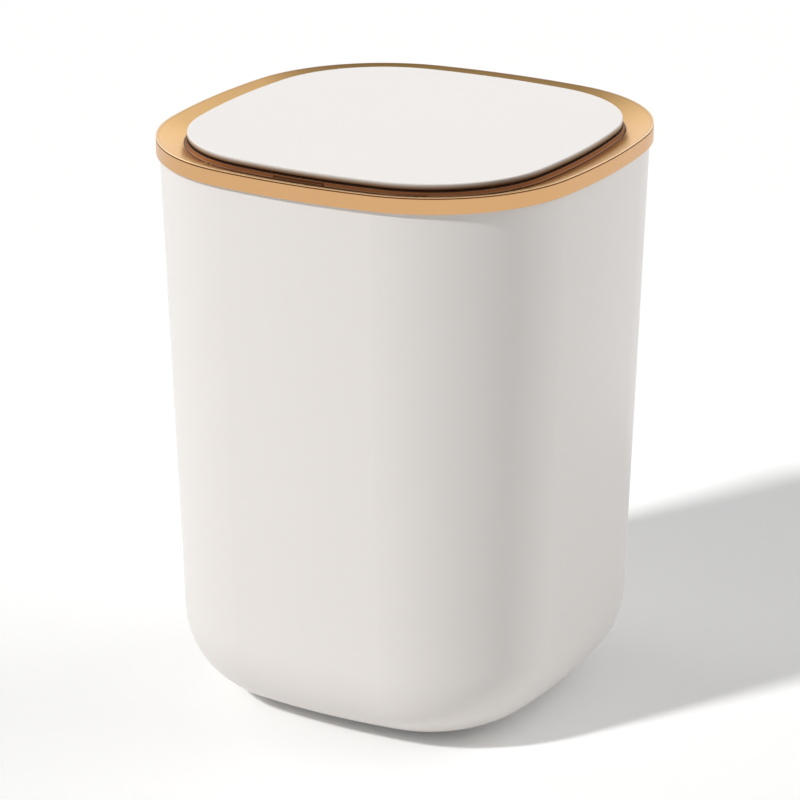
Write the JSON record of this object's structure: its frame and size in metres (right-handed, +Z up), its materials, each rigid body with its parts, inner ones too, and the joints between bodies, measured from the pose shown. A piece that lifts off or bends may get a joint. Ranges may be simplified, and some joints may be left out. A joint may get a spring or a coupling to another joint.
{
  "type": "sensor trash can",
  "caption": "Tapered rounded-square bin with a plated rim, a lift-off head and a motor-driven hinged lid that a sensor in the rim opens.",
  "frame": {"origin": "on the floor under the middle of the bin", "axes": "+Z up, -Y towards the sensor and the user, +Y towards the lid hinge, +X to the right when seen from the sensor side"},
  "size_m": [0.22, 0.22, 0.2876],
  "materials": {
    "white_plastic": "satin",
    "lid_white": "satin",
    "plated_gold": "polished",
    "frame_plastic": "satin",
    "dark_plastic": "satin",
    "sensor_tint": "gloss",
    "rubber_dark": "matte",
    "rubber_clear": "satin",
    "steel": "satin",
    "gear_nylon": "satin",
    "circuit_green": "gloss",
    "ir_clear": "gloss",
    "ir_dark": "gloss",
    "led_red": "gloss",
    "cell_wrap": "gloss",
    "contact_nickel": "polished",
    "brass_pinion": "satin",
    "lead_grey": "matte"
  },
  "bodies": {
    "bin": {"outer_bucket": "white_plastic", "foot_pads": "rubber_dark"},
    "bag_clamp": {"bag_ring": "frame_plastic"},
    "head": {"rim_ring": "plated_gold", "head_chassis": "frame_plastic", "chassis_screws": "steel", "lid_seal": "rubber_dark", "sensor_window": "sensor_tint", "sensor_board": "circuit_green", "ir_emitter": "ir_clear", "ir_receiver": "ir_dark", "status_led": "led_red", "sensor_shroud": "dark_plastic", "gearbox_case": "dark_plastic", "gearbox_cover": "dark_plastic", "gearbox_screws": "steel", "gearbox_mount_screws": "steel", "gear_axles": "steel", "motor_gearhead": "brass_pinion", "motor_can": "steel", "motor_clamp": "frame_plastic", "clamp_screws": "steel", "main_board": "circuit_green", "board_screws": "steel", "board_chip": "dark_plastic", "board_capacitor": "cell_wrap", "board_connectors": "lid_white", "battery_tray": "frame_plastic", "battery_cells": "cell_wrap", "battery_contacts": "contact_nickel", "service_cover": "frame_plastic", "service_screws": "steel", "power_switch_body": "dark_plastic", "hinge_bushes": "gear_nylon", "sensor_lead": "lead_grey", "motor_leads": "lead_grey", "battery_leads": "lead_grey"},
    "lid": {"lid_panel": "lid_white", "lid_liner": "lid_white", "hinge_arm_left": "frame_plastic", "hinge_arm_right": "frame_plastic", "arm_screws": "steel", "lid_shaft": "steel", "lid_gear": "gear_nylon", "lid_bumpers": "rubber_clear"},
    "idler": {"idler_gear": "gear_nylon"},
    "compound": {"compound_gear": "gear_nylon"},
    "pinion": {"motor_pinion": "brass_pinion", "motor_shaft": "steel"},
    "door": {"battery_door": "frame_plastic"},
    "switch": {"power_switch_slider": "dark_plastic"}
  },
  "joints": [
    {"name": "head_lift", "type": "slide", "parent": "bin", "child": "head", "axis": [0, 0, 1], "range_m": [0, 0.08]},
    {"name": "bag_ring_lift", "type": "slide", "parent": "bin", "child": "bag_clamp", "axis": [0, 0, 1], "range_m": [0, 0.04]},
    {"name": "lid_hinge", "type": "hinge", "parent": "head", "child": "lid", "pos_m": [0, 0.1015, 0.2767], "axis": [-1, 0, 0], "range_deg": [0, 70]},
    {"name": "idler_spin", "type": "hinge", "parent": "head", "child": "idler", "pos_m": [0, 0.09548, 0.2681], "axis": [-1, 0, 0], "range_deg": [-28.5, 0.5]},
    {"name": "compound_spin", "type": "hinge", "parent": "head", "child": "compound", "pos_m": [0, 0.08608, 0.26468], "axis": [-1, 0, 0], "range_deg": [-0.5, 84.5]},
    {"name": "pinion_spin", "type": "hinge", "parent": "head", "child": "pinion", "pos_m": [0, 0.07533, 0.26468], "axis": [-1, 0, 0], "range_deg": [-318, 0.5]},
    {"name": "door_slide", "type": "slide", "parent": "head", "child": "door", "axis": [0, -1, 0], "range_m": [0, 0.03]},
    {"name": "switch_slide", "type": "slide", "parent": "head", "child": "switch", "axis": [1, 0, 0], "range_m": [0, 0.0025]}
  ],
  "couplings": [
    {"joint": "bag_ring_lift", "follows": "head_lift", "ratio": 0.5},
    {"joint": "idler_spin", "follows": "lid_hinge", "ratio": -0.4},
    {"joint": "compound_spin", "follows": "lid_hinge", "ratio": 1.2},
    {"joint": "pinion_spin", "follows": "lid_hinge", "ratio": -4.5333}
  ]
}
